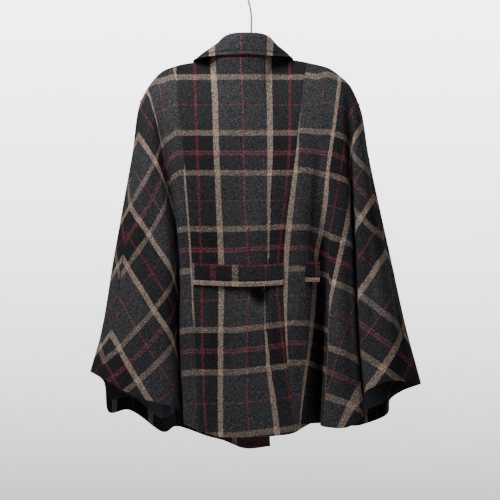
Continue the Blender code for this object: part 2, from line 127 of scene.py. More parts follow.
RIGHT_FRONT = (
    ("edge", 217, 236, 283, 319, 343, 0, 0, 0, 0, 251, 816),
    ("underarm", 216, 234, 276, 311, 307, 10, 15, 17, 18, 249, 830),
    ("outer_front", 215, 230, 268, 300, 283, 20, 30, 34, 36, 246, 846),
    ("sleeve_mid", 209, 214, 240, 262, 276, 46, 66, 72, 74, 234, 878),
    ("sleeve_edge", 202, 200, 206, 212, 226, 52, 70, 76, 80, 222, 899),
    ("arm_floor", 190, 184, 184, 186, 190, 40, 28, 24, 26, 208, 900),
    ("body_edge", 174, 160, 156, 156, 156, 58, 66, 74, 80, 195, 896),
    ("panel_mid", 104, 108, 108, 110, 112, 70, 78, 86, 93, 170, 898),
    ("neck", 56, 60, 54, 52, 52, 75, 82, 90, 98, 162, 902),
    ("throat", 32, 16, 8, 4, 2, 77, 83, 91, 99, 206, 908),
    ("front_edge", -42, -44, -46, -48, -48, 77, 83, 91, 99, 234, 912),
)
NECKLINE_Y = {"centre": -46.0, "nape": -37.0, "throat": 35.0, "front_edge": 47.0}
RIGHT_LAP = 7.0
ARM_TURN = {"overarm": 1.0, "edge": 5.0, "underarm": 8.0, "outer_front": 11.0}

# The studio, in metres: its paper rises at a radius beyond any camera, and glows by its height.
STUDIO_RADIUS, STUDIO_TOP, SWEEP, FLOOR_Z = 28.0, 3.2, 1.2, -3.6
PAPER_ROUND, PAPER_HEIGHTS, PAPER_GLOW, PAPER_BEHIND = 0.35, (-2.05, 1.2), (0.0, 5.4), (1.4, 0.4)
WORLD_LIGHT, LIGHT_AIM = 0.06, (0.0, 0.0, -0.5)
# Name, place, size and power
LIGHTS = (
    ("key", (-0.65, -0.95, 1.0), 1.0, 39.0),
    ("fill", (1.6, -2.6, 1.2), 1.6, 5.0),
    ("front", (0.9, 2.4, 1.2), 1.6, 70.0),
)
CAMERA_DISTANCE, CAMERA_SENSOR, CAMERA_CLIP, CLOTH_Y = 20.0, 36.0, 60.0, -0.04

# The cloth is drawn this many times finer than the solids, across and down.
FINER_ACROSS, FINER_DOWN = 5, 8
SEGMENTS = {
    "nape": 3, "neck": 2, "princess": 4,
    "body_edge": 4, "arm_floor": 4, "sleeve_edge": 4, "sleeve_mid": 4,
    "pleat_edge": 2, "pleat_floor": 3, "lobe_edge": 3, "lobe_mid": 2, "lobe_far": 2,
    "overarm": 4, "edge": 3, "underarm": 2, "outer_front": 2, "panel_mid": 4, "throat": 3, "front_edge": 3,
}
LEVEL_SEGMENTS = (3, 3, 5, 4, 4)

COLLAR_COLUMNS = (
    "name",
    "foot_x", "foot_y", "foot_drop",
    "roll_x", "roll_y", "roll_drop",
    "free_x", "free_y", "free_drop",
)
COLLAR_ROWS = (
    ("back", 0, -40.5, 151.0, 0, -46, 115, 0, -51.5, 156.5),
    ("nape", 40, -32, 154.0, 34, -37, 118, 58, -41, 160),
    ("side", 64, -2, 161.0, 57, -4, 139, 98, -5, 165),
    ("collarbone", 57, 14, 176.0, 60, 15, 153, 97, 24, 176),
    ("throat", 41, 30, 203.0, 46, 34, 180, 86, 52, 224),
    ("front", 2.5, 41, 231.0, 5, 46, 206, 30, 72, 280),
)
COLLAR_LEFT_FALL = {"side": 4.5, "collarbone": 2.0}
COLLAR_ROUND, COLLAR_OVER = 20, 16
COLLAR_STAND_SHARE, COLLAR_STAND_IN, COLLAR_FALL_OUT = 0.55, 1.5, 2.0
# The collar's topstitching, thick enough that its near-black stitches also paint the groove's shadow line
TOPSTITCH_IN, TOPSTITCH_ROW, STITCH_LENGTH, STITCH_PITCH, STITCH_RADIUS = 7.5, 4, 3.4, 4.2, 0.7
GROOVE_WIDTH, GROOVE_DEPTH = 1.7, 1.5

FOLD_DEEP_FROM, FOLD_DEEPENS = 130.0, 60.0

# The check, in picture units: warp repeats across, weft repeats down. A band is (start, end, yarn).
WARP_REPEAT, WEFT_REPEAT = 95.0, 96.0
WARP_BANDS = (
    (0.0, 0.6, "rose"), (0.6, 24.4, "grey"), (24.4, 30.1, "tan"), (30.1, 46.2, "black"),
    (46.2, 48.8, "wine"), (48.8, 64.9, "black"), (64.9, 70.6, "tan"), (70.6, 94.4, "grey"),
    (94.4, 95.0, "rose"),
)
WEFT_BANDS = (
    (0.0, 0.6, "rose"), (0.6, 25.2, "grey"), (25.2, 30.8, "tan"), (30.8, 45.7, "black"),
    (45.7, 47.4, "rose"), (47.4, 48.6, "wine"), (48.6, 50.3, "rose"), (50.3, 65.2, "black"),
    (65.2, 70.8, "tan"), (70.8, 95.4, "grey"), (95.4, 96.0, "rose"),
)
YARNS = {
    "grey": (63, 63, 66), "black": (39, 39, 42), "tan": (166, 146, 131),
    "wine": (104, 45, 53), "rose": (136, 72, 78),
}
# The wool's noise, in repeats a metre, and its twill, in picture units; the spread of each noise
# that counts, and what it is turned into: the weft's share of the colour, and how light the nap is
WANDER_SCALE, WANDER, BAND_SOFT, TWILL_PITCH = 240.0, 1.5, 0.12, 0.9
FLECK_SCALE, NAP_SCALE, NOISE_SPREAD, NAP_SPREAD = 420.0, 430.0, (0.3, 0.7), (0.4, 0.72)
WEFT_SHARE, NAP_LIGHT = (0.14, 0.56), (0.52, 2.3)
TWILL_IN_SHARE, TWILL_IN_LIGHT, TWILL_IN_RELIEF = 0.05, 0.06, 0.12
# Dark yarns show less of the nap than pale ones: brightness, and the nap's share
NAP_BRIGHTNESS, NAP_SHARE = (0.015, 0.05), (0.65, 1.0)
# How far the warp's tan line and its wine line lie from the thin rose line
TAN_U, WINE_U = 27.25, 47.5
TAN_TO_WINE = WINE_U - TAN_U

# Where the check's lines cross the centre back, level by level: y, then x of the left wine line,
# left tan, thin middle line, the crease, u on either side of the crease, and x of the right wine line.
CENTRE_CHECK = (
    (20, 193.3, 211, 239, 275, 34.0, 34.0, 289.7),
    (60, 194.3, 212.5, 240.5, 275, 33.5, 33.5, 289.7),
    (105, 195.7, 215, 243, 275, 32.5, 32.6, 289.7),
    (150, 197.2, 216.2, 243.5, 273, 30, 31, 289.7),
    (200, 199.2, 218.7, 244.5, 271, 28.5, 34, 284.6),
    (258, 201, 221, 248.3, 269.3, 26.5, 38.5, 278.3),
    (290, 202, 221.3, 249, 264, 20, 34, 277),
    (325, 202.2, 220.7, 247.2, 265.8, 26.5, 34, 280.5),
    (370, 203.2, 220.3, 246.6, 271, 30, 31, 286.2),
    (400, 204.5, 220, 247.3, 276, 30, 30.1, 290.6),
    (440, 207, 220, 250, 281, 30, 30.1, 297),
)
# Weft lines down the middle of the back and beside the right seam, as (y, v)
CENTRE_WEFT = ((5, -100), (105, 0), (229, 124), (300.3, 192), (372, 260), (435, 316), (491, 366))
RIGHT_WEFT = (
    (3, -100), (103, 0), (198, 96), (268.8, 164), (323, 220), (362.4, 260), (427, 316), (480, 366),
)
# Left of the left wine line the next tan lies this far off, and to the right the weft lines rise:
# by how much, from which x, over how much of x, to how many times that, and from and over which y
PAST_WINE = 21.5
WEFT_RISE, RISE_X, RISE_MOST, RISE_Y = 6.0, (235.0, 50.0), 1.3, (170.0, 130.0)
# How far into the warp's tan band the left side panel is cut, down its seam, as (y, u)
LEFT_CUT = ((60, 27.5), (76, 27), (84, 23), (160, 23), (172, 27), (318, 27), (334, 23))
# How steeply the weft lines fall past the seam, as (y, slope), from this far past it, and u for each x
LEFT_SLOPE = ((80, 0.42), (130, 0.62), (170, 0.75), (200, 0.15))
LEFT_LEVEL, LEFT_SCALE = 6.0, 1.3
# The right side panel's tan lines, as (y, how far the near one lies past the seam, x of the far one)
RIGHT_TANS = (
    (60, -4, 343), (77, -4, 340), (105, -4, 335.4), (134, -3, 332.2), (146, -1.4, 331), (172, 0.5, 328.2),
    (204, 1.8, 325), (232, 2.2, 321), (255, 2, 316.4), (290, 1.2, 314.5), (314, 0, 313), (343, -0.9, 310.3),
    (361, -1.1, 307.7), (375, -4, 305.5), (395, -4, 303), (430, -4, 299),
)
# Between them cloth is lost: the u that shows beside each, as (y, u), the share of the way where the
# two meet, and the most that u reaches; then the slope of the weft lines, as (y, slope), past an x
RIGHT_SHOWN = ((95, 27.25), (115, 16.5))
RIGHT_MEET, RIGHT_MOST = 0.6, 45.0
RIGHT_SLOPE, RIGHT_LEVEL = ((150, 0.2), (200, 0.38)), 308.0
# x of the thin rose line on the fronts
FRONT_WARP = 224.75
# Crossings of the check's lines on the cape, as (x, y, u, v)
LEFT_SLEEVE_CHECK = (
    (150.5, 124.5, -47.5, 0), (155.9, 161.2, -67.75, 28), (131.7, 206.5, -122.25, 28),
    (151.3, 197, -95, 48), (148.5, 235.9, -122.25, 68), (128.9, 236.8, -142.5, 48),
    (141, 251.7, -142.5, 68), (150.3, 271.3, -142.5, 96), (162.5, 257.3, -122.25, 96),
    (141, 288, -162.75, 96), (154.4, 309.6, -162.75, 124), (165.3, 325, -162.75, 144),
    (123.3, 306.4, -190, 96), (138.2, 328.3, -190, 124), (145.7, 346, -190, 144),
    (118.6, 346.9, -217.25, 124), (129, 363, -217.25, 144), (137.3, 382.4, -217.25, 164),
    (113, 377.7, -237.5, 144),
)
RIGHT_SLEEVE_CHECK = (
    (356.5, 136, 67.75, 10), (363.9, 166, 95, 28), (372.4, 200.5, 122.25, 48),
    (359, 219, 122.25, 68), (376, 231, 142.5, 68), (359.5, 255, 142.5, 96),
    (376.5, 266.5, 162.75, 96), (360, 292, 162.75, 124), (395.6, 288, 190, 96),
    (382, 313, 190, 124), (369, 333, 190, 144), (403, 331, 217.25, 124),
    (395.6, 349.6, 217.25, 144), (381.5, 366.4, 217.25, 164), (412, 362.5, 237.5, 144),
)
RIGHT_LOBE_CHECK = (
    (340, 77, 27.25, -28), (335, 105.5, 27.25, 0), (332.4, 134, 27.25, 28),
    (330.3, 154.3, 27.25, 48), (327.6, 175.5, 27.25, 68), (325, 203, 27.25, 96),
    (350, 112, 47.5, 0), (344, 157.4, 47.5, 48), (340, 177, 47.5, 68), (333, 205, 47.5, 96),
    (344, 241, 67.75, 124), (337, 262, 67.75, 144), (331.6, 283, 67.75, 164),
    (326.5, 313.8, 67.75, 192), (348.2, 322.4, 95, 192), (339.6, 352, 95, 220),
    (332.4, 372.5, 95, 240), (361.5, 385.6, 122.25, 240), (354.5, 407, 122.25, 260),
)

# The facing inside each front's hem has its own cut: x of one warp line, its u, and u per picture unit
FACING_CHECK = {"cape_front_left": (114.0, 27.25, 1.125), "cape_front_right": (378.0, 47.5, 1.84)}
# Down the facing: y of one level, its v, and v per picture unit
FACING_WEFT = (405.0, 38.0, 0.25)
# The belt is cut across the grain: u at its top and over its width, then x where v is nothing and v per x
BELT_WARP, BELT_WEFT = (46.9, 23.3), (265.7, 0.915)
# The collar's check: x of its thin line, its scale, how far off that line lies when counted round the fold,
# where it stops following x, and how far its weft is lifted at the left and right ends of the back
COLLAR_WARP, COLLAR_SCALE, COLLAR_SHIFT, COLLAR_BEHIND = 241.0, 0.956, 4.0, (60.0, 25.0)
COLLAR_LIFT, COLLAR_WEFT, COLLAR_ENDS = 2.6, 1.2, ((222.0, 14.0), (280.0, 8.0))

# Creases pressed or hung into each panel: three points along it (x, y), half width and height in
# millimetres. A height below nothing is a trough.
CREASE_COLUMNS = ("start", "middle", "end", "width", "height")
CREASES = {
    "back_centre": (
        ((273, 140), (269.5, 255), (265, 352), 4.0, -4.0),
        ((281, 190), (277, 262), (276, 330), 9.0, 3.0),
        ((258, 190), (258, 255), (255, 330), 12.0, 2.6),
        ((252, 281), (257, 291), (264, 309), 12.0, -30.0),
        ((271, 286), (271, 318), (275, 362), 6.0, 3.5),
        ((231, 292), (233, 345), (237, 415), 13.0, -3.2),
        ((209, 296), (209, 350), (206, 425), 12.0, 3.0),
        ((246, 300), (246, 350), (249, 430), 12.0, 2.4),
        ((226, 72), (219, 92), (208, 118), 9.0, -1.8),
        ((262, 70), (270, 92), (283, 112), 9.0, -1.8),
        ((196, 240), (220, 249), (246, 246), 5.0, -1.8),
        ((200, 229), (222, 236), (243, 232), 6.0, 1.5),
        ((236, 120), (239, 165), (236, 215), 14.0, -1.8),
    ),
    "cape_back_left": (
        ((176, 80), (176, 130), (179, 190), 7.0, 2.6),
        ((183, 262), (184, 300), (187, 345), 7.0, -2.4),
        ((158, 168), (150, 230), (147, 310), 14.0, -4.0),
        ((142, 128), (135, 220), (128, 330), 16.0, 4.0),
        ((130, 250), (122, 315), (112, 378), 12.0, -4.0),
        ((166, 225), (166, 300), (164, 385), 9.0, 3.0),
        ((152, 300), (150, 350), (152, 402), 10.0, -3.0),
        ((151, 92), (147, 112), (145, 138), 7.0, -2.6),
        ((158, 84), (157, 108), (158, 132), 7.0, 2.0),
    ),
    "cape_back_right": (
        ((319, 140), (316, 205), (312, 252), 8.0, -3.6),
        ((303, 110), (300, 190), (297, 256), 10.0, 2.8),
        ((306, 290), (303, 340), (297, 410), 9.0, -2.6),
        ((340, 215), (339, 300), (342, 415), 13.0, 3.6),
        ((350, 255), (351, 330), (355, 415), 8.0, -3.0),
        ((330, 260), (329, 320), (331, 410), 7.0, -2.4),
        ((364, 190), (371, 265), (373, 360), 12.0, -4.0),
        ((377, 205), (388, 290), (394, 372), 13.0, 4.0),
        ((391, 262), (402, 325), (409, 378), 10.0, -3.2),
        ((352, 98), (352, 122), (349, 148), 7.0, -2.4),
        ((340, 84), (342, 108), (340, 140), 8.0, 2.0),
    ),
    "cape_front_left": (
        ((214, 120), (216, 230), (220, 420), 14.0, -3.4),
        ((195, 100), (196, 220), (193, 400), 13.0, 3.2),
        ((235, 210), (240, 300), (246, 430), 13.0, 2.6),
        ((150, 130), (143, 220), (139, 370), 14.0, -4.4),
        ((135, 170), (127, 260), (118, 385), 13.0, 3.8),
        ((160, 200), (158, 290), (160, 420), 9.0, -3.0),
        ((188, 250), (205, 262), (224, 258), 8.0, -1.8),
        ((178, 76), (180, 100), (186, 130), 8.0, -2.2),
        ((176, 300), (172, 360), (176, 418), 9.0, 2.6),
    ),
    "cape_front_right": (
        ((290, 110), (286, 240), (284, 410), 14.0, -3.4),
        ((307, 105), (305, 230), (309, 405), 12.0, 3.2),
        ((262, 220), (258, 310), (256, 415), 13.0, 2.6),
        ((352, 140), (362, 240), (368, 380), 14.0, -4.4),
        ((364, 180), (379, 270), (388, 385), 13.0, 3.8),
        ((346, 190), (350, 290), (354, 400), 9.0, -3.0),
        ((312, 250), (296, 263), (276, 259), 8.0, -1.8),
        ((322, 78), (318, 104), (310, 132), 8.0, -2.2),
        ((326, 300), (330, 350), (326, 408), 9.0, 2.6),
    ),
}
# A crease fades toward its ends by a power of a sine over this share of its length, from this share on.
CREASE_FADE, CREASE_LENGTH, CREASE_START = 0.7, 0.94, 0.03
CREASE_FREE_ROWS = 3.0 * FINER_DOWN


def row_of(columns, values):
    return dict(zip(columns, values))


def unit(vectors):
    return vectors / np.maximum(np.linalg.norm(vectors, axis=-1, keepdims=True), 1e-9)


def eased(share):
    """Nothing below 0, one above 1 and a smooth rise between."""
    share = np.clip(share, 0.0, 1.0)
    return share * share * (3.0 - 2.0 * share)


def tangents(points, knots):
    """Smooth tangents through points that are unevenly spaced along knots."""
    steps = np.diff(knots)[:, None]
    slopes = np.diff(points, axis=0) / steps
    inner = (slopes[:-1] * steps[1:] + slopes[1:] * steps[:-1]) / (steps[:-1] + steps[1:])
    return np.vstack([slopes[:1], inner, slopes[-1:]])


def through(points, counts, start=None):
    """Points of a smooth curve through points, with counts segments in each span."""
    points = np.asarray(points, float)
    chords = np.linalg.norm(np.diff(points, axis=0), axis=1)
    knots = np.concatenate([[0.0], np.cumsum(np.maximum(chords, 0.5))])
    slopes = tangents(points, knots)
    if start is not None:
        slopes[0] = start
    found = [points[:1]]
    for i, count in enumerate(counts):
        step = knots[i + 1] - knots[i]
        t = (np.arange(1, count + 1) / count)[:, None]
        found.append(
            points[i] * (1 + 2 * t) * (1 - t) ** 2
            + points[i + 1] * t * t * (3 - 2 * t)
            + slopes[i] * step * t * (1 - t) ** 2
            - slopes[i + 1] * step * t * t * (1 - t)
        )
    return np.concatenate(found)


def line_down(line, facing, lap):
    """Points down one line of the cloth, from the shoulder or neckline to the hem."""
    levels = [
        (line["x_bust"], line["y_bust"], BUST),
        (line["x_waist"], line["y_waist"], WAIST),
        (line["x_hip"], line["y_hip"], HIP),
        (line["x_hem"], line["y_hem"], line["hem_drop"]),
    ]
    drop = line["top_drop"]
    start = None
    share = NECK_SHARE
    if line["name"] in NECKLINE_Y:
        top = (line["x_top"], NECKLINE_Y[line["name"]] + lap, drop)
        first = tuple(a + (b - a) * share for a, b in zip(top, levels[0]))
        roll = (first[0], first[1] + facing * NECK_SWELL, first[2])
    else:
        top = (line["x_top"], 0.0, drop)
        depth = SHOULDER_ROLL
        start = (0.0, SHOULDER_START * facing, 0.0)
        if line["name"] in ARM_TURN:
            depth = ARM_TURN[line["name"]]
            start = (0.0, ARM_START * depth * facing, 1.0)
        else:
            share = SHOULDER_SHARE
        toward = line["x_top"] + share * (line["x_bust"] - line["x_top"])
        roll = (toward, depth * facing, drop + SHOULDER_ROLL)
    return through([top, roll, *levels], [FINER_DOWN * n for n in LEVEL_SEGMENTS], start)


def half_ring(back, front, lap):
    """The cloth of one side from the centre back round the arm to the front edge, and its lines."""
    lines = [row_of(LINE_COLUMNS, values) for values in (CENTRE_BACK, *back, *front)]
    facings = [-1] * (1 + len(back)) + [1] * len(front)
    laps = [0.0] * (1 + len(back)) + [lap] * len(front)
    downs = [line_down(line, f, gap) for line, f, gap in zip(lines, facings, laps)]
    counts = [FINER_ACROSS * SEGMENTS[line["name"]] for line in lines[1:]]
    points = np.array([through([down[r] for down in downs], counts) for r in range(len(downs[0]))])
    columns, at = {}, 0
    for line, facing, count in zip(lines, facings, [0, *counts]):
        at += count
        columns[("back_" if facing < 0 else "front_") + line["name"]] = at
    top = points[0].copy()
    ridge = slice(columns["back_neck"], columns["back_overarm"] + 1)
    facing_ridge = slice(columns["back_overarm"] + 1, columns["front_neck"] + 1)
    top[ridge, 1] = 0.0
    top[facing_ridge, 1] = 0.0
    top[facing_ridge, 0] = np.interp(top[facing_ridge, 2], top[ridge, 2], top[ridge, 0])
    moved = top - points[0]
    for r in range(FINER_DOWN):
        points[r] += moved * (1.0 - r / FINER_DOWN)
    return points, columns


def ring_normals(points, columns, side):
    """Outward directions of the cloth. Along the shoulder they lie in the plane of the hanger."""
    normals = unit(np.cross(np.gradient(points, axis=1), np.gradient(points, axis=0))) * side
    shoulder = (
        np.arange(columns["back_neck"], columns["back_overarm"] + 1),
        np.arange(columns["back_overarm"] + 1, columns["front_neck"] + 1),
    )
    for picked in shoulder:
        along = np.gradient(points[0, picked], axis=0)
        upright = unit(np.stack([along[:, 2], 0 * along[:, 2], -along[:, 0]], axis=1))
        upright *= np.where(upright[:, 2:] > 0, -1.0, 1.0)
        for r in range(FINER_DOWN):
            share = 1.0 - r / FINER_DOWN
            normals[r, picked] = unit(upright * share + normals[r, picked] * (1.0 - share))
    return normals


def in_frame(points):
    """Table millimetres to metres: drop counts downwards."""
    return np.asarray(points, float) * (MM, MM, -MM)


def on_picture(points):
    """Table millimetres to picture units."""
    x = PICTURE_MIDDLE + points[..., 0] / PICTURE_UNIT
    y = (points[..., 2] - PICTURE_TOP_DROP) / PICTURE_UNIT
    return x, y


# The check's chart


def fitted(crossings):
    """A gently bent chart through crossings of the check's lines, as a function of x and y."""
    x, y, u, v = np.array(crossings, float).T
    middle_x, middle_y, span = x.mean(), y.mean(), 50.0

    def terms(at_x, at_y):
        a, b = (at_x - middle_x) / span, (at_y - middle_y) / span
        return np.stack([np.ones_like(a), a, b, a * a, a * b, b * b], axis=-1)

    across = np.linalg.lstsq(terms(x, y), u, rcond=None)[0]
    down = np.linalg.lstsq(terms(x, y), v, rcond=None)[0]
    return lambda at_x, at_y: (terms(at_x, at_y) @ across, terms(at_x, at_y) @ down)


def along_table(y, table, column=1):
    table = np.array(table, float)
    return np.interp(y, table[:, 0], table[:, column])


def chart_centre(x, y):
    """The centre back, where cloth is lost in the crease beside the right-hand seam."""
    wine, tan, middle, crease, before, after, far = (along_table(y, CENTRE_CHECK, k) for k in range(1, 8))
    left_of_tan = -TAN_U + TAN_TO_WINE * (x - tan) / (tan - wine)
    u = np.where(x < tan, left_of_tan, TAN_U * (x - middle) / (middle - tan))
    u = np.where(x > middle, before * (x - middle) / (crease - middle), u)
    u = np.where(x > crease, after + (WINE_U - after) * (x - crease) / (far - crease), u)
    u = np.where(x < wine, -WINE_U + TAN_TO_WINE * (x - wine) / PAST_WINE, u)
    rise = WEFT_RISE * np.clip((x - RISE_X[0]) / RISE_X[1], 0.0, RISE_MOST)
    return u, along_table(y + rise * eased((y - RISE_Y[0]) / RISE_Y[1]), CENTRE_WEFT)


def chart_left_side(x, y, seam):
    u = along_table(y, LEFT_CUT) + (x - seam) * LEFT_SCALE
    fall = along_table(y, LEFT_SLOPE) * np.maximum(0.0, seam - LEFT_LEVEL - x)
    return u, along_table(y - fall, CENTRE_WEFT)


def chart_right_side(x, y, seam):
    near, far = seam + along_table(y, RIGHT_TANS, 1), along_table(y, RIGHT_TANS, 2)
    share = (x - near) / (far - near)
    shown = along_table(y, RIGHT_SHOWN)
    beside_near = -TAN_U + share / RIGHT_MEET * shown
    beside_far = TAN_U - (1.0 - share) / (1.0 - RIGHT_MEET) * shown
    u = np.minimum(np.where(share < RIGHT_MEET, beside_near, beside_far), RIGHT_MOST)
    fall = along_table(y, RIGHT_SLOPE) * np.maximum(0.0, x - RIGHT_LEVEL)
    return u, along_table(y - fall, RIGHT_WEFT)


def chart_front(x, y):
    return x - FRONT_WARP, along_table(y, CENTRE_WEFT)


def chart_facing(name, points):
    """The check inside a front, as its hem's facing is cut."""
    x, y = on_picture(points)
    line, at, scale = FACING_CHECK[name]
    level, level_v, down = FACING_WEFT
    return at + (x - line) * scale, level_v + down * (y - level)


def mixed(first, second, share):
    return tuple(a * (1.0 - share) + b * share for a, b in zip(first, second))


def between(columns, first, last, count):
    """How far each column lies between two named ones, eased."""
    start, end = columns[first], columns[last]
    return eased((np.arange(count) - start) / (end - start))[None, :]


def round_from(points, column):
    """Length of cloth from a column, row by row, in picture units."""
    steps = np.linalg.norm(np.diff(points, axis=1), axis=2)
    length = np.concatenate([np.zeros((len(points), 1)), np.cumsum(steps, axis=1)], axis=1)
    return (length - length[:, column][:, None]) / PICTURE_UNIT


def into_fold(points, columns, edge, floor, hand):
    """x for the chart, with the wall of a fold from its edge to its floor laid out flat."""
    x, _ = on_picture(points)
    start, end = columns[edge], columns[floor]
    wall = np.zeros(points.shape[1], bool)
    wall[min(start, end):max(start, end) + 1] = True
    flat = x[:, start][:, None] + hand * round_from(points, start)
    return np.where(wall[None, :], flat, x)


def over_fold(first, second, columns, names, y):
    """Two charts that meet in a fold: a soft change at the shoulder, a break in its floor below."""
    start, floor, end = (columns[name] for name in names)
    at = np.arange(y.shape[1])[None, :]
    soft = mixed(first["seen"], second["seen"], between(columns, names[0], names[2], y.shape[1]))
    broken = mixed(first["flat"], second["flat"], at >= floor)
    deep = eased((y - FOLD_DEEP_FROM) / FOLD_DEEPENS) * ((at > start) & (at < end))
    return mixed(soft, broken, deep)


def chart_side(points, columns, hand):
    """The check all round one side of the cape, by row and column."""
    x, y = on_picture(points)
    at = np.arange(points.shape[1])[None, :]
    overarm = columns["back_overarm"]
    mirrored = x[:, overarm][:, None] - hand * round_from(points, overarm)
    seam = x[:, columns["back_princess"]][:, None]
    arm = ("back_body_edge" if hand < 0 else "back_lobe_far", "back_arm_floor", "back_sleeve_edge")
    before, after = (into_fold(points, columns, edge, arm[1], hand) for edge in (arm[0], arm[2]))
    if hand < 0:
        sleeve = fitted(LEFT_SLEEVE_CHECK)
        near = {"seen": chart_left_side(x, y, seam), "flat": chart_left_side(before, y, seam)}
    else:
        sleeve, lobe = fitted(RIGHT_SLEEVE_CHECK), fitted(RIGHT_LOBE_CHECK)
        side, on_lobe = chart_right_side(x, y, seam), lobe(x, y)
        pleat = ("back_pleat_edge", "back_lobe_edge", "back_lobe_edge")
        pleated = over_fold(
            {"seen": side, "flat": side}, {"seen": on_lobe, "flat": on_lobe}, columns, pleat, y
        )
        beyond = at > columns["back_lobe_edge"]
        near = {"seen": mixed(pleated, on_lobe, beyond), "flat": mixed(pleated, lobe(before, y), beyond)}
    back = over_fold(near, {"seen": sleeve(x, y), "flat": sleeve(after, y)}, columns, arm, y)
    to_body = between(columns, "front_sleeve_edge", "front_body_edge", points.shape[1])
    front = mixed(sleeve(mirrored, y), chart_front(x, y), to_body)
    return tuple(np.where(at > overarm, f, b) for f, b in zip(front, back))


# Creases


def crease_line(crease, samples=25):
    """Points along a crease, and its fading height there."""
    t = np.linspace(0.0, 1.0, samples)[:, None]
    start, middle, end = (np.array(crease[key], float) for key in ("start", "middle", "end"))
    line = start * (1 - t) * (1 - 2 * t) + middle * 4 * t * (1 - t) + end * t * (2 * t - 1)
    return line, np.sin(np.pi * np.clip(t[:, 0] * CREASE_LENGTH + CREASE_START, 0, 1)) ** CREASE_FADE


def creased(panel, points, normals):
    """The points of a panel with its creases raised or sunk along the normals."""
    x, y = on_picture(points)
    rise = np.zeros(x.shape)
    for values in CREASES[panel]:
        crease = row_of(CREASE_COLUMNS, values)
        line, fade = crease_line(crease)
        away = (x[..., None] - line[:, 0]) ** 2 + (y[..., None] - line[:, 1]) ** 2
        nearest = away.argmin(axis=-1)
        distance = np.take_along_axis(away, nearest[..., None], -1)[..., 0] * PICTURE_UNIT ** 2
        rise += crease["height"] * fade[nearest] * np.exp(-distance / crease["width"] ** 2)
    rows = np.arange(points.shape[0])[:, None]
    rise *= eased(rows / CREASE_FREE_ROWS)
    return points + normals * rise[..., None]


# Meshes


def linked(name, data):
    """A new object in the scene that shows data."""
    made = bpy.data.objects.new(name, data)
    bpy.context.scene.collection.objects.link(made)
    return made


def stands_for(made, node):
    """Hangs a piece on the root body and hides the solid that it takes the place of."""
    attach(made, "root")
    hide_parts(node)


def smooth(name, bm, *finishes):
    """A smooth object of a finished bmesh."""
    mesh = bpy.data.meshes.new(name)
    bm.to_mesh(mesh)
    bm.free()
    for finish in finishes:
        mesh.materials.append(finish)
    mesh.shade_smooth()
    return linked(name, mesh)


def spin(bm, profile, steps, merge):
    """Turns a profile of (radius, height) about the upright."""
    line = [bm.verts.new((radius, 0.0, height)) for radius, height in profile]
    edges = [bm.edges.new(pair) for pair in zip(line, line[1:])]
    bmesh.ops.spin(
        bm, geom=line + edges, cent=(0, 0, 0), axis=(0, 0, 1), angle=2 * math.pi, steps=steps, use_merge=True
    )
    bmesh.ops.remove_doubles(bm, verts=bm.verts, dist=merge)


def lengths_along(points):
    """Length from the first point to each."""
    return np.concatenate([[0.0], np.cumsum(np.linalg.norm(np.diff(points, axis=0), axis=1))])


def grid_faces(rows, columns, offset, flip):
    """Quads of a grid of points that are numbered row by row."""
    at = (np.arange(rows - 1)[:, None] * columns + np.arange(columns - 1)[None, :]).ravel() + offset
    quads = np.stack([at, at + 1, at + columns + 1, at + columns], axis=1)
    return quads[:, ::-1] if flip else quads


def rim_loop(rows, columns):
    """Numbers of a grid's outer points, in order round it."""
    top = np.arange(columns)
    right = np.arange(1, rows) * columns + columns - 1
    bottom = (rows - 1) * columns + np.arange(columns - 2, -1, -1)
    left = np.arange(rows - 2, 0, -1) * columns
    return np.concatenate([top, right, bottom, left])


def shell(name, outer, inner, chart, finish, flip, inner_chart=None):
    """A closed sheet between two grids, with the check's charts as its UV map."""
    rows, columns = outer.shape[:2]
    count = rows * columns
    vertices = np.concatenate([in_frame(outer).reshape(-1, 3), in_frame(inner).reshape(-1, 3)])
    loop = rim_loop(rows, columns)
    ahead = np.roll(loop, -1)
    rim = np.stack([loop, loop + count, ahead + count, ahead], axis=1)
    faces = np.concatenate([
        grid_faces(rows, columns, 0, flip),
        grid_faces(rows, columns, count, not flip),
        rim[:, ::-1] if flip else rim,
    ])
    mesh = bpy.data.meshes.new(name)
    mesh.from_pydata(vertices.tolist(), [], faces.tolist())
    uv = mesh.uv_layers.new(name="check")
    charts = (chart, inner_chart or chart)
    chart = np.concatenate([np.stack([np.ravel(u), np.ravel(v)], axis=1) for u, v in charts])
    uv.data.foreach_set("uv", chart[faces.ravel()].astype(np.float32).ravel())
    mesh.materials.append(finish)
    mesh.validate()
    mesh.shade_smooth()
    mesh.set_sharp_from_angle(angle=math.radians(CLOTH_SHARP_DEG))
    return linked(name, mesh)


def drawn_in(points, edges, front):
    """The points moved in by half of the seam's gap at the named edges and along the shoulder."""
    moved = points.copy()
    half = SEAM_GAP / 2
    if "first" in edges:
        moved[:, 0] += half * unit(points[:, 1] - points[:, 0])
    if "last" in edges:
        moved[:, -1] += half * unit(points[:, -2] - points[:, -1])
    ridge = points[0, :, 1] == 0.0
    moved[0, ridge, 1] = half if front else -half
    return moved


def panel(name, points, normals, chart, edges, finish, flip, front=False):
    """One cut piece of the ring as a creased shell, sunk a little at its seams."""
    outer = drawn_in(creased(name, points, normals), edges, front)
    sink = np.zeros(outer.shape[1])
    if "first" in edges:
        sink[:2] = SEAM_SINK, SEAM_SINK_NEXT
    if "last" in edges:
        sink[-2:] = SEAM_SINK_NEXT, SEAM_SINK
    inner = outer - CLOTH * normals
    outer = outer - normals * sink[None, :, None]
    facing = chart_facing(name, inner) if front else None
    made = shell(name + "_cloth", outer, inner, chart, finish, flip, facing)
    stands_for(made, name)
    return made


def at_drop(points, column, drop):
    """The point of one column at a given drop."""
    down = points[:, column]
    return np.array([np.interp(drop, down[:, 2], down[:, k]) for k in range(3)])


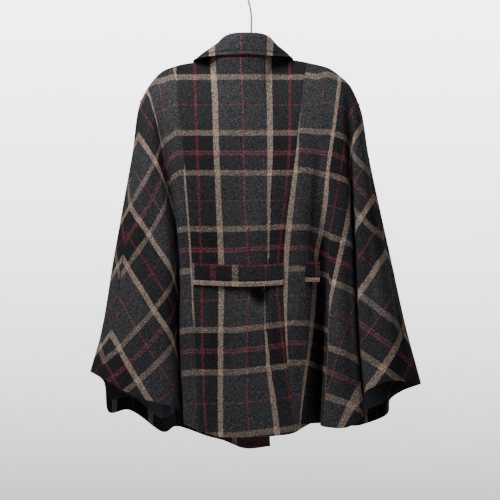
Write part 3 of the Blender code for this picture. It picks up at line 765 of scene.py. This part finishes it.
def across_at(points, normals, columns, drop):
    """The points and outward directions of several columns at one drop."""
    found = np.array([at_drop(points, c, drop) for c in columns])
    facing = [normals[np.searchsorted(points[:, c, 2], drop), c] for c in columns]
    return found, unit(np.array(facing))


# Materials


def linear(colour):
    """A display colour of 0 to 255 as linear light."""
    share = np.array(colour, float) / 255.0
    made = np.where(share <= 0.04045, share / 12.92, ((share + 0.055) / 1.055) ** 2.4)
    return (*[float(c) for c in made], 1.0)


def new_material(name):
    made = bpy.data.materials.new(name)
    made.use_nodes = True
    return made, made.node_tree, made.node_tree.nodes["Principled BSDF"]


def feed(tree, socket, value):
    """Links another node's output to a socket, or sets the socket's own value."""
    if isinstance(value, bpy.types.NodeSocket):
        tree.links.new(value, socket)
    else:
        socket.default_value = value


def add_node(tree, kind, settings=None, inputs=None):
    made = tree.nodes.new(kind)
    for key, value in (settings or {}).items():
        setattr(made, key, value)
    for key, value in (inputs or {}).items():
        feed(tree, made.inputs[key], value)
    return made


def math_node(tree, operation, *values):
    return add_node(tree, "ShaderNodeMath", {"operation": operation}, dict(enumerate(values))).outputs[0]


def noise_node(tree, place, scale, detail=3.0, roughness=0.6):
    made = add_node(
        tree, "ShaderNodeTexNoise", None,
        {"Vector": place, "Scale": scale, "Detail": detail, "Roughness": roughness},
    )
    return made.outputs["Fac"]


def band_colours(tree, position, repeat, bands):
    """The yarn colour at a position across repeating bands."""
    share = math_node(tree, "FRACT", math_node(tree, "DIVIDE", position, repeat))
    ramp = add_node(tree, "ShaderNodeValToRGB", None, {"Fac": share})
    stops = []
    for start, end, yarn in bands:
        stops += [((start + BAND_SOFT) / repeat, yarn), ((end - BAND_SOFT) / repeat, yarn)]
    elements = ramp.color_ramp.elements
    while len(elements) < len(stops):
        elements.new(0.5)
    for element, (at, yarn) in zip(elements, stops):
        element.position = at
        element.color = linear(YARNS[yarn])
    return ramp.outputs["Color"]


def mix_colours(tree, share, first, second, blend="MIX"):
    made = add_node(tree, "ShaderNodeMix", {"data_type": "RGBA", "blend_type": blend})
    for socket, value in ((0, share), (6, first), (7, second)):
        feed(tree, made.inputs[socket], value)
    return made.outputs[2]


def mapped(tree, value, spread, to):
    """A value within a spread, turned into one between two others."""
    low, high = spread
    to_low, to_high = to
    made = add_node(
        tree, "ShaderNodeMapRange", None,
        {"Value": value, "From Min": low, "From Max": high, "To Min": to_low, "To Max": to_high},
    )
    return made.outputs["Result"]


def checked_wool():
    """Brushed twill in a large check: warp and weft yarns mixed, with flecks, twill and nap."""
    made, tree, shader = new_material("checked_wool")
    chart = add_node(tree, "ShaderNodeUVMap", {"uv_map": "check"}).outputs["UV"]
    place = add_node(tree, "ShaderNodeTexCoord").outputs["Object"]
    across, down = add_node(tree, "ShaderNodeSeparateXYZ", None, {"Vector": chart}).outputs[:2]
    wander = math_node(tree, "SUBTRACT", noise_node(tree, place, WANDER_SCALE), 0.5)
    wander = math_node(tree, "MULTIPLY", wander, WANDER)
    warp = band_colours(tree, math_node(tree, "ADD", across, wander), WARP_REPEAT, WARP_BANDS)
    weft = band_colours(tree, math_node(tree, "ADD", down, wander), WEFT_REPEAT, WEFT_BANDS)
    diagonal = math_node(tree, "ADD", across, down)
    twill = math_node(tree, "SINE", math_node(tree, "MULTIPLY", diagonal, 2 * math.pi / TWILL_PITCH))

    def with_twill(value, share):
        return math_node(tree, "ADD", value, math_node(tree, "MULTIPLY", twill, share))

    fleck = noise_node(tree, place, FLECK_SCALE, 2.0)
    share = with_twill(mapped(tree, fleck, NOISE_SPREAD, WEFT_SHARE), TWILL_IN_SHARE)
    yarn = mix_colours(tree, share, warp, weft)
    nap = noise_node(tree, place, NAP_SCALE, 2.0)
    light = with_twill(mapped(tree, nap, NAP_SPREAD, NAP_LIGHT), TWILL_IN_LIGHT)
    grey = add_node(tree, "ShaderNodeCombineColor", None, {0: light, 1: light, 2: light}).outputs[0]
    brightness = add_node(tree, "ShaderNodeRGBToBW", None, {"Color": yarn}).outputs[0]
    flecked = mapped(tree, brightness, NAP_BRIGHTNESS, NAP_SHARE)
    napped = mix_colours(tree, 1.0, yarn, grey, "MULTIPLY")
    weave = with_twill(nap, TWILL_IN_RELIEF)
    bump = add_node(tree, "ShaderNodeBump", None, {"Strength": 0.55, "Distance": 0.0012, "Height": weave})
    for key, value in {
        "Base Color": mix_colours(tree, flecked, yarn, napped),
        "Roughness": 0.93,
        "Specular IOR Level": 0.06,
        "Sheen Weight": 0.02,
        "Sheen Roughness": 0.45,
        "Normal": bump.outputs["Normal"],
    }.items():
        feed(tree, shader.inputs[key], value)
    return made


def plain_material(name, dark, pale, scale, roughness, metallic=0.0, bump=0.0004, stretch=(1.0, 1.0, 1.0)):
    """A finish that wanders between two colours and two roughnesses, with a fine relief."""
    made, tree, shader = new_material(name)
    place = add_node(tree, "ShaderNodeTexCoord").outputs["Object"]
    place = add_node(tree, "ShaderNodeMapping", None, {"Vector": place, "Scale": stretch}).outputs["Vector"]
    grain = noise_node(tree, place, scale, 5.0, 0.65)
    relief = add_node(tree, "ShaderNodeBump", None, {"Strength": 0.4, "Distance": bump, "Height": grain})
    share = mapped(tree, grain, NOISE_SPREAD, (0.0, 1.0))
    for key, value in {
        "Base Color": mix_colours(tree, share, linear(dark), linear(pale)),
        "Roughness": mapped(tree, grain, NOISE_SPREAD, roughness),
        "Metallic": metallic,
        "Normal": relief.outputs["Normal"],
    }.items():
        feed(tree, shader.inputs[key], value)
    return made


# Pieces


def body(sides, wool):
    """The back, the two cape backs and the two cape fronts."""
    pieces = {}
    for side, word in zip(sides, ("left", "right")):
        chart = side["chart"]
        seam, overarm, edge = (
            side["columns"][key] for key in ("back_princess", "back_overarm", "front_front_edge")
        )
        spans = (
            ("cape_back_" + word, seam, overarm, ("first", "last"), False),
            ("cape_front_" + word, overarm, edge, ("first",), True),
        )
        for name, first, last, edges, front in spans:
            picked = slice(first, last + 1)
            pieces[name] = panel(
                name, side["points"][:, picked], side["normals"][:, picked],
                [c[:, picked] for c in chart], edges, wool, side["hand"] < 0, front,
            )
    left, right = sides
    first, last = (side["columns"]["back_princess"] for side in sides)
    points, normals = (
        np.concatenate([left[key][:, first:0:-1], right[key][:, : last + 1]], axis=1)
        for key in ("points", "normals")
    )
    normals[:, first] = unit(normals[:, first - 1] + normals[:, first + 1])
    chart = chart_centre(*on_picture(points))
    pieces["back_centre"] = panel("back_centre", points, normals, chart, ("first", "last"), wool, False)
    return pieces, points, normals


def belt_chart(x, level):
    """A warp tan runs along the belt's lower edge, and weft lines cross it."""
    return BELT_WARP[0] + level * BELT_WARP[1], (BELT_WEFT[0] - x) * BELT_WEFT[1]


def belt_piece(name, inner, facing, wool):
    """A stretch of belt over rows of points, puffed and with a stitched groove."""
    inner, facing = np.array(inner), np.array(facing)
    downs = np.linspace(0.0, 1.0, BELT_ROWS)
    groove = BELT_GROOVE_DEPTH * np.exp(-((downs - BELT_GROOVE) / BELT_GROOVE_WIDTH) ** 2)
    puff = BELT_PUFF * (1 - (2 * downs - 1) ** 6) - groove
    outer = inner + facing * (BELT_CLOTH - BELT_PUFF + puff)[:, None, None]
    x, _ = on_picture(outer)
    chart = belt_chart(x, np.repeat(downs[:, None], outer.shape[1], axis=1))
    made = shell(name + "_cloth", outer, inner, chart, wool, False)
    stands_for(made, name)
    return made


def belts(points, normals, right, wool):
    """The belt over the back, and the stretch that shows again where it spans the pleat."""
    columns = range(points.shape[1])
    hang = (1 - np.linspace(-1, 1, len(columns)) ** 2)[:, None]
    near, far = right["columns"]["back_pleat_edge"], right["columns"]["back_lobe_edge"] - FINER_ACROSS
    along = np.linspace(0.0, 1.0, SIDE_BELT_COLUMNS)[:, None]
    back, back_facing, stretch, stretch_facing = [], [], [], []
    for down in np.linspace(0.0, 1.0, BELT_ROWS):
        found, facing = across_at(points, normals, columns, BELT_TOP + down * BELT_WIDTH)
        facing = unit(facing * (1, 1, 0))
        clear = SEAM_GAP + CLOTH * 0.2 + BELT_STAND_OFF * hang
        back.append(found + facing * clear + hang * (0, 0, BELT_SAG))
        back_facing.append(facing)

        drop = BELT_TOP - SIDE_BELT_RISE + down * (BELT_WIDTH - SIDE_BELT_LESS)
        (start, end), _ = across_at(right["points"], right["normals"], (near, far), drop)
        chord = unit(end - start)
        out = np.array([chord[1], -chord[0], 0.0])
        under = start - chord * SIDE_BELT_BEFORE + along * (end - start - chord * SIDE_BELT_SHORT)
        stretch.append(under + out * SEAM_GAP)
        stretch_facing.append(np.broadcast_to(out, under.shape))
    return (
        belt_piece("belt_back", back, back_facing, wool),
        belt_piece("belt_side", stretch, stretch_facing, wool),
    )


def linings(side, word, satin_painted_light):
    """The lining that shows inside the front of a sleeve, above the hem's facing. It is coloured lighter than
    its own dark navy: painted light for the shaded inside.
    """
    columns = side["columns"]
    picked = range(columns["front_underarm"] + FINER_ACROSS, columns["front_arm_floor"] + 1)
    points = creased("cape_front_" + word, side["points"], side["normals"])
    points = points - (CLOTH + SEAM_GAP) * side["normals"]
    outer, inner = [], []
    for share in np.linspace(0, 1, LINING_ROWS):
        row, facing = [], []
        for c in picked:
            drop = points[-1, c, 2] - HEM_FACING - LINING_LENGTH * (1 - share)
            row.append(at_drop(points, c, drop))
            facing.append(side["normals"][np.searchsorted(points[:, c, 2], drop) - 1, c])
        facing = np.array(facing)
        row = np.array(row) - LINING_EASE * facing
        outer.append(row)
        inner.append(row - LINING_CLOTH * facing)
    outer, inner = np.array(outer), np.array(inner)
    name = "lining_" + word
    made = shell(name + "_satin", outer, inner, on_picture(outer), satin_painted_light, side["hand"] < 0)
    stands_for(made, name)
    return made


def to_free_edge(points):
    """Length over the collar from each point to its free edge."""
    over = np.linalg.norm(np.diff(points, axis=1), axis=2)
    lengths = np.cumsum(over[:, ::-1], axis=1)[:, ::-1]
    return np.concatenate([lengths, np.zeros((len(points), 1))], axis=1)


def collar(wool):
    """The collar: its stand rises from the neckline, rolls over and falls to a free edge."""
    rows = [row_of(COLLAR_COLUMNS, values) for values in COLLAR_ROWS]
    stations = []
    for mirror, picked in ((-1, rows[:0:-1]), (1, rows)):
        for row in picked:
            foot, roll, free = (
                np.array([centre + mirror * row[part + "_x"], row[part + "_y"], row[part + "_drop"]])
                for part, centre in COLLAR_CENTRES.items()
            )
            if mirror < 0:
                free[2] += COLLAR_LEFT_FALL.get(row["name"], 0.0)
            out = unit((free - roll) * (1, 1, 0))
            stations.append((
                foot,
                foot * (1 - COLLAR_STAND_SHARE) + roll * COLLAR_STAND_SHARE - out * COLLAR_STAND_IN,
                roll - out * COLLAR_ROLL + (0, 0, COLLAR_ROLL),
                roll,
                roll + out * COLLAR_ROLL + (0, 0, COLLAR_ROLL),
                roll * 0.5 + free * 0.5 + out * COLLAR_FALL_OUT,
                free,
            ))
    around = [COLLAR_ROUND] * (len(stations) - 1)
    rings = [through(ring, around) for ring in zip(*stations)]
    over = [COLLAR_OVER] * (len(rings) - 1)
    points = np.array([through(station, over) for station in zip(*rings)])
    normals = unit(np.cross(np.gradient(points, axis=0), np.gradient(points, axis=1)))
    round_steps = lengths_along(points[:, 4 * COLLAR_OVER])
    round_steps = ((round_steps - round_steps[len(points) // 2]) / PICTURE_UNIT)[:, None]
    x, _ = on_picture(points)
    behind = eased((COLLAR_BEHIND[0] - np.abs(round_steps)) / COLLAR_BEHIND[1])
    across = (x - COLLAR_WARP) * behind + (round_steps + COLLAR_SHIFT) * (1.0 - behind)
    from_edge = to_free_edge(points)
    groove = np.exp(-((from_edge - TOPSTITCH_IN) / GROOVE_WIDTH) ** 2)
    outer = points + (COLLAR_CLOTH - GROOVE_DEPTH * groove)[..., None] * normals
    (left, left_over), (right, right_over) = COLLAR_ENDS
    near_end = np.maximum(eased((left - x) / left_over), eased((x - right) / right_over))
    chart = (across * COLLAR_SCALE, COLLAR_LIFT * near_end - COLLAR_WEFT - from_edge / PICTURE_UNIT)
    made = shell("collar_cloth", outer, points, chart, wool, True)
    stands_for(made, "collar")
    return made, outer, normals


def collar_stitching(outer, normals, thread):
    """The row of stitches in the groove near the collar's free edge: real topstitching, whose near-black
    thread also paints the groove's shadow line.
    """
    from_edge = to_free_edge(outer)
    path = np.array([
        [np.interp(TOPSTITCH_IN, lengths[-2::-1], across[-2::-1, k]) for k in range(3)]
        for lengths, across in zip(from_edge, outer)
    ])
    return stitch_row("collar_stitching", path, normals[:, -TOPSTITCH_ROW], thread)


def stitch_row(name, path, facing, finish):
    """A row of sunken stitches along a path, each a small rounded bar."""
    steps = lengths_along(path)
    bm = bmesh.new()
    for at in np.arange(STITCH_PITCH, steps[-1] - STITCH_PITCH, STITCH_PITCH):
        place, ahead, out = (
            np.array([np.interp(at + d, steps, source[:, k]) for k in range(3)])
            for d, source in ((0.0, path), (0.5, path), (0.0, facing))
        )
        along = unit(ahead - place)
        sideways = unit(np.cross(along, out))
        made = bmesh.ops.create_uvsphere(bm, u_segments=8, v_segments=5, radius=1.0)
        for vert in made["verts"]:
            a, b, c = vert.co
            round_bar = (sideways * a + unit(out) * b) * STITCH_RADIUS
            vert.co = in_frame(place + round_bar + along * c * STITCH_LENGTH / 2)
    bmesh.ops.recalc_face_normals(bm, faces=bm.faces)
    made = smooth(name, bm, finish)
    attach(made, "root")
    return made


def to_quaternion(direction):
    """The turn that carries +Z to a direction."""
    half = unit(np.array([direction[0], direction[1], direction[2] + 1.0]))
    return (half[2], -half[1], half[0], 0.0)


def add_thread(bm, angle):
    """A rounded bar of thread across the middle of a button."""
    reach, radius = THREAD_REACH * BUTTON_RADIUS, THREAD_RADIUS
    bar = bmesh.ops.create_uvsphere(bm, u_segments=10, v_segments=6, radius=1.0)
    for vert in bar["verts"]:
        along, beside, high = vert.co.x * reach, vert.co.y * radius, vert.co.z * radius
        vert.co = Vector((
            along * math.cos(angle) - beside * math.sin(angle),
            along * math.sin(angle) + beside * math.cos(angle),
            high + THREAD_HEIGHT * BUTTON_HEIGHT,
        )) * MM
        for face in vert.link_faces:
            face.material_index = 1


def buttons(right, horn, thread):
    """Round buttons down the centre front, each sewn flat on the right front with crossed thread."""
    columns = right["columns"]
    picked = range(columns["front_throat"], columns["front_front_edge"] + 1)
    profile = [(r * BUTTON_RADIUS * MM, h * BUTTON_HEIGHT * MM) for r, h in BUTTON_PROFILE]
    for number, drop in enumerate(BUTTON_DROPS, 1):
        found, facing = across_at(right["points"], right["normals"], picked, drop)
        order = np.argsort(found[:, 0])
        seat = np.array([np.interp(NECK_CENTRE, found[order, 0], found[order, k]) for k in range(3)])
        out = unit(facing.mean(axis=0)) * (1, 1, -1)
        bm = bmesh.new()
        spin(bm, profile, 48, 1e-6)
        bmesh.ops.recalc_face_normals(bm, faces=bm.faces)
        for turn in (45, 135):
            add_thread(bm, math.radians(turn))
        made = smooth(f"button_{number}_horn", bm, horn, thread)
        made.location = Vector(in_frame(seat) + out * (BUTTON_HEIGHT / 2 + SEAM_GAP + BUTTON_SEAT) * MM)
        made.rotation_mode = "QUATERNION"
        made.rotation_quaternion = to_quaternion(out)
        stands_for(made, f"button_{number}")


def tube(name, points, radius, finish):
    """A round bar along points in table millimetres."""
    curve = bpy.data.curves.new(name, "CURVE")
    curve.dimensions = "3D"
    curve.bevel_depth = radius * MM
    curve.bevel_resolution = 6
    curve.use_fill_caps = True
    spline = curve.splines.new("POLY")
    spline.points.add(len(points) - 1)
    for point, at in zip(spline.points, in_frame(points)):
        point.co = (*at, 1.0)
    drawn = bpy.data.objects.new(name + "_line", curve)
    mesh = bpy.data.meshes.new_from_object(drawn)
    bpy.data.objects.remove(drawn)
    mesh.materials.clear()
    mesh.materials.append(finish)
    mesh.shade_smooth()
    mesh.set_sharp_from_angle(angle=math.radians(TUBE_SHARP_DEG))
    return linked(name, mesh)


def hanger(sides, black, steel):
    """A bar that follows the shoulders inside the cloth, and the wire hook above it."""
    below = CLOTH + SEAM_GAP + ARM_EASE + ARM_RADIUS
    halves = []
    for side in sides:
        columns = side["columns"]
        end = columns["back_overarm"] - ARM_SHORT_BY * FINER_ACROSS
        picked = range(columns["back_neck"], end, FINER_ACROSS)
        top = side["points"][0, picked] - below * side["normals"][0, picked]
        top[:, 2] += ARM_NECK_DIP * np.linspace(1, 0, len(top)) ** 2
        halves.append(top)
    line = [*halves[0][::-1], np.array([0.0, 0.0, ARM_CREST_DROP + ARM_RADIUS]), *halves[1]]
    path = through(line, [ARM_FINER] * (len(line) - 1))
    stands_for(tube("hanger_bar", path, ARM_RADIUS, black), "hanger_arms")

    centre = WIRE_RADIUS - HOOK_RADIUS
    turn = np.radians(np.arange(*HOOK_DEGREES))
    arc = [(HOOK_RADIUS * math.cos(a), 0.0, -(centre + HOOK_RADIUS * math.sin(a))) for a in turn]
    bend = through(
        [arc[-4], arc[-1], (STEM_BEND_X, 0.0, STEM_BEND_DROP), (0.0, 0.0, STEM_TOP_DROP),
         (0.0, 0.0, STEM_FOOT_DROP)],
        [3, 8, 8, 6],
    )
    wire = tube("hook_wire", np.array([*arc[:-1], *bend[3:]]), WIRE_RADIUS, steel)
    stands_for(wire, "hanger_hook")


# The studio


def studio_paper():
    """Matt pale paper, lit from within where it rises: faintly all round, and more behind the garment."""
    made, tree, shader = new_material("studio_paper")
    place = add_node(tree, "ShaderNodeTexCoord").outputs["Object"]
    parts = add_node(tree, "ShaderNodeSeparateXYZ", None, {"Vector": place}).outputs
    grain = mapped(tree, noise_node(tree, place, 3.0), NOISE_SPREAD, (-0.02, 0.02))
    behind = mapped(tree, parts["Y"], [STUDIO_RADIUS - before for before in PAPER_BEHIND], (0.0, 1.0))
    extra = math_node(tree, "ADD", mapped(tree, parts["Z"], PAPER_HEIGHTS, PAPER_GLOW), grain)
    round_about = mapped(tree, parts["Z"], (FLOOR_Z + 0.2, FLOOR_Z + SWEEP), (0.0, PAPER_ROUND))
    glow = math_node(tree, "ADD", round_about, math_node(tree, "MULTIPLY", behind, extra))
    tree.links.new(glow, shader.inputs["Emission Strength"])
    shader.inputs["Emission Color"].default_value = (0.985, 1.0, 0.99, 1.0)
    shader.inputs["Base Color"].default_value = linear((232, 233, 233))
    shader.inputs["Roughness"].default_value = 0.95
    return made


def studio():
    """A pale floor that sweeps up all round, soft lights, and a far camera at the back."""
    turns = np.radians(np.linspace(0, 90, 13))
    profile = [(0.0, FLOOR_Z), *[
        (STUDIO_RADIUS - SWEEP + SWEEP * math.sin(a), FLOOR_Z + SWEEP - SWEEP * math.cos(a)) for a in turns
    ], (STUDIO_RADIUS, STUDIO_TOP)]
    bm = bmesh.new()
    spin(bm, profile, 96, 1e-4)
    smooth("studio_sweep", bm, studio_paper())

    for name, at, size, power in LIGHTS:
        lamp = bpy.data.lights.new(name, "AREA")
        lamp.size = size
        lamp.energy = power
        made = linked(name, lamp)
        made.location = at
        made.rotation_euler = (Vector(LIGHT_AIM) - Vector(at)).to_track_quat("-Z", "Y").to_euler()

    world = bpy.data.worlds.new("studio")
    bpy.context.scene.world = world
    world.use_nodes = True
    background = world.node_tree.nodes["Background"].inputs
    background["Color"].default_value = (1.0, 1.0, 1.0, 1.0)
    background["Strength"].default_value = WORLD_LIGHT

    camera = bpy.data.cameras.new("camera")
    camera.sensor_width = CAMERA_SENSOR
    camera.lens = CAMERA_SENSOR * (CAMERA_DISTANCE + CLOTH_Y) / (2 * PICTURE_MIDDLE * PICTURE_UNIT * MM)
    camera.clip_end = CAMERA_CLIP
    made = linked("camera", camera)
    made.location = (0.0, -CAMERA_DISTANCE, -(PICTURE_TOP_DROP + PICTURE_MIDDLE * PICTURE_UNIT) * MM)
    made.rotation_euler = (math.pi / 2, 0.0, 0.0)
    bpy.context.scene.camera = made


def main():
    wool = checked_wool()
    # Painted light: the lining is coloured lighter than its own dark navy, to stand in for light in the
    # shaded inside of the sleeves.
    satin_painted_light = plain_material("lining_satin", (62, 62, 76), (88, 88, 104), 900.0, (0.3, 0.45),
                           stretch=(1.0, 1.0, 0.2))
    horn = plain_material("button_horn", (17, 15, 14), (46, 38, 33), 90.0, (0.22, 0.4),
                          stretch=(1.0, 0.3, 1.0))
    steel = plain_material("hook_steel", (186, 186, 190), (214, 214, 218), 60.0, (0.24, 0.36), 0.35, 0.0001,
                           (1.0, 1.0, 0.1))
    black = plain_material("hanger_black", (16, 16, 17), (27, 27, 28), 400.0, (0.4, 0.6))
    # Near-black thread: on the collar its stitches are real topstitching that also paint the shadow line of
    # their groove; the same finish sews the buttons.
    thread = plain_material("thread_and_painted_shade", (14, 14, 16), (28, 28, 31), 2500.0, (0.7, 0.9))

    sides = []
    for back, front, lap, hand in (
        (LEFT_BACK, LEFT_FRONT, 0.0, -1),
        (RIGHT_BACK, RIGHT_FRONT, RIGHT_LAP, 1),
    ):
        points, columns = half_ring(back, front, lap)
        sides.append({
            "points": points, "columns": columns, "hand": hand,
            "normals": ring_normals(points, columns, hand),
            "chart": chart_side(points, columns, hand),
        })
    pieces, back_points, back_normals = body(sides, wool)
    belt_pieces = belts(back_points, back_normals, sides[1], wool)
    linings_made = [linings(side, word, satin_painted_light) for side, word in zip(sides, ("left", "right"))]
    collar_made, collar_outer, collar_normals = collar(wool)
    stitching = collar_stitching(collar_outer, collar_normals, thread)
    buttons(sides[1], horn, thread)
    hanger(sides, black, steel)
    studio()


main()
